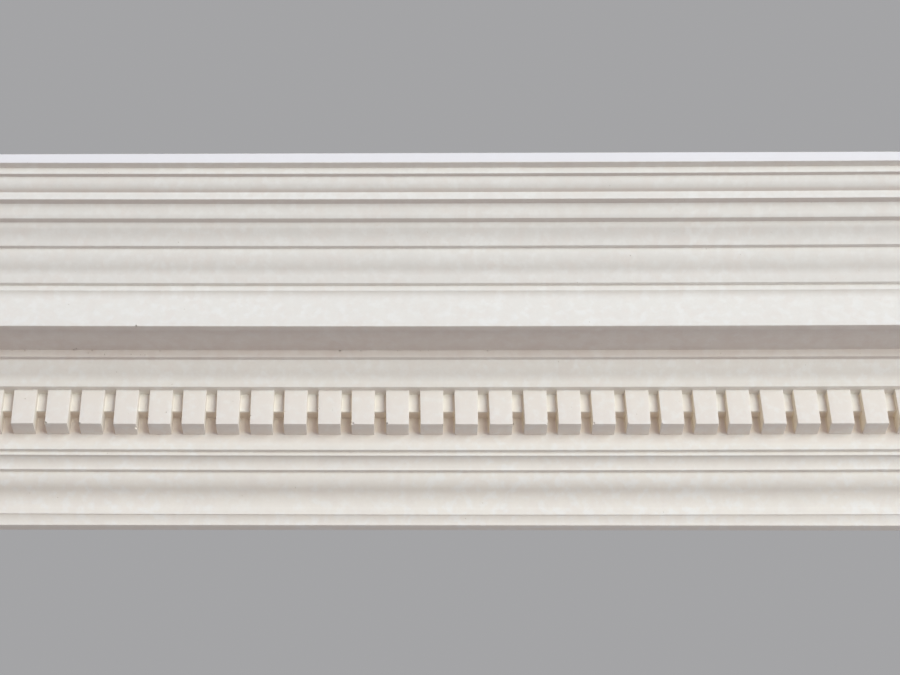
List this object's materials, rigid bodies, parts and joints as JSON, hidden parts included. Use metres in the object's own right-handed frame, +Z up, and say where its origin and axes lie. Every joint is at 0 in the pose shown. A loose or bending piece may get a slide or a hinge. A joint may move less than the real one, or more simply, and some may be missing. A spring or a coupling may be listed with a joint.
{
  "type": "cornice moulding length",
  "caption": "Straight length of cast plaster cornice with a dentil band under a deep corona, hollow behind, with flat seats for wall and ceiling.",
  "frame": {"origin": "middle of the flat wall seat, at mid-length", "axes": "+X along the length, +Y into the wall, so the moulded face looks along -Y, +Z up to the ceiling"},
  "size_m": [0.992, 0.221, 0.2779],
  "materials": {
    "plaster": "matte cream-white cast plaster, faintly mottled"
  },
  "bodies": {
    "root": {"cornice_length": "plaster"}
  },
  "joints": []
}
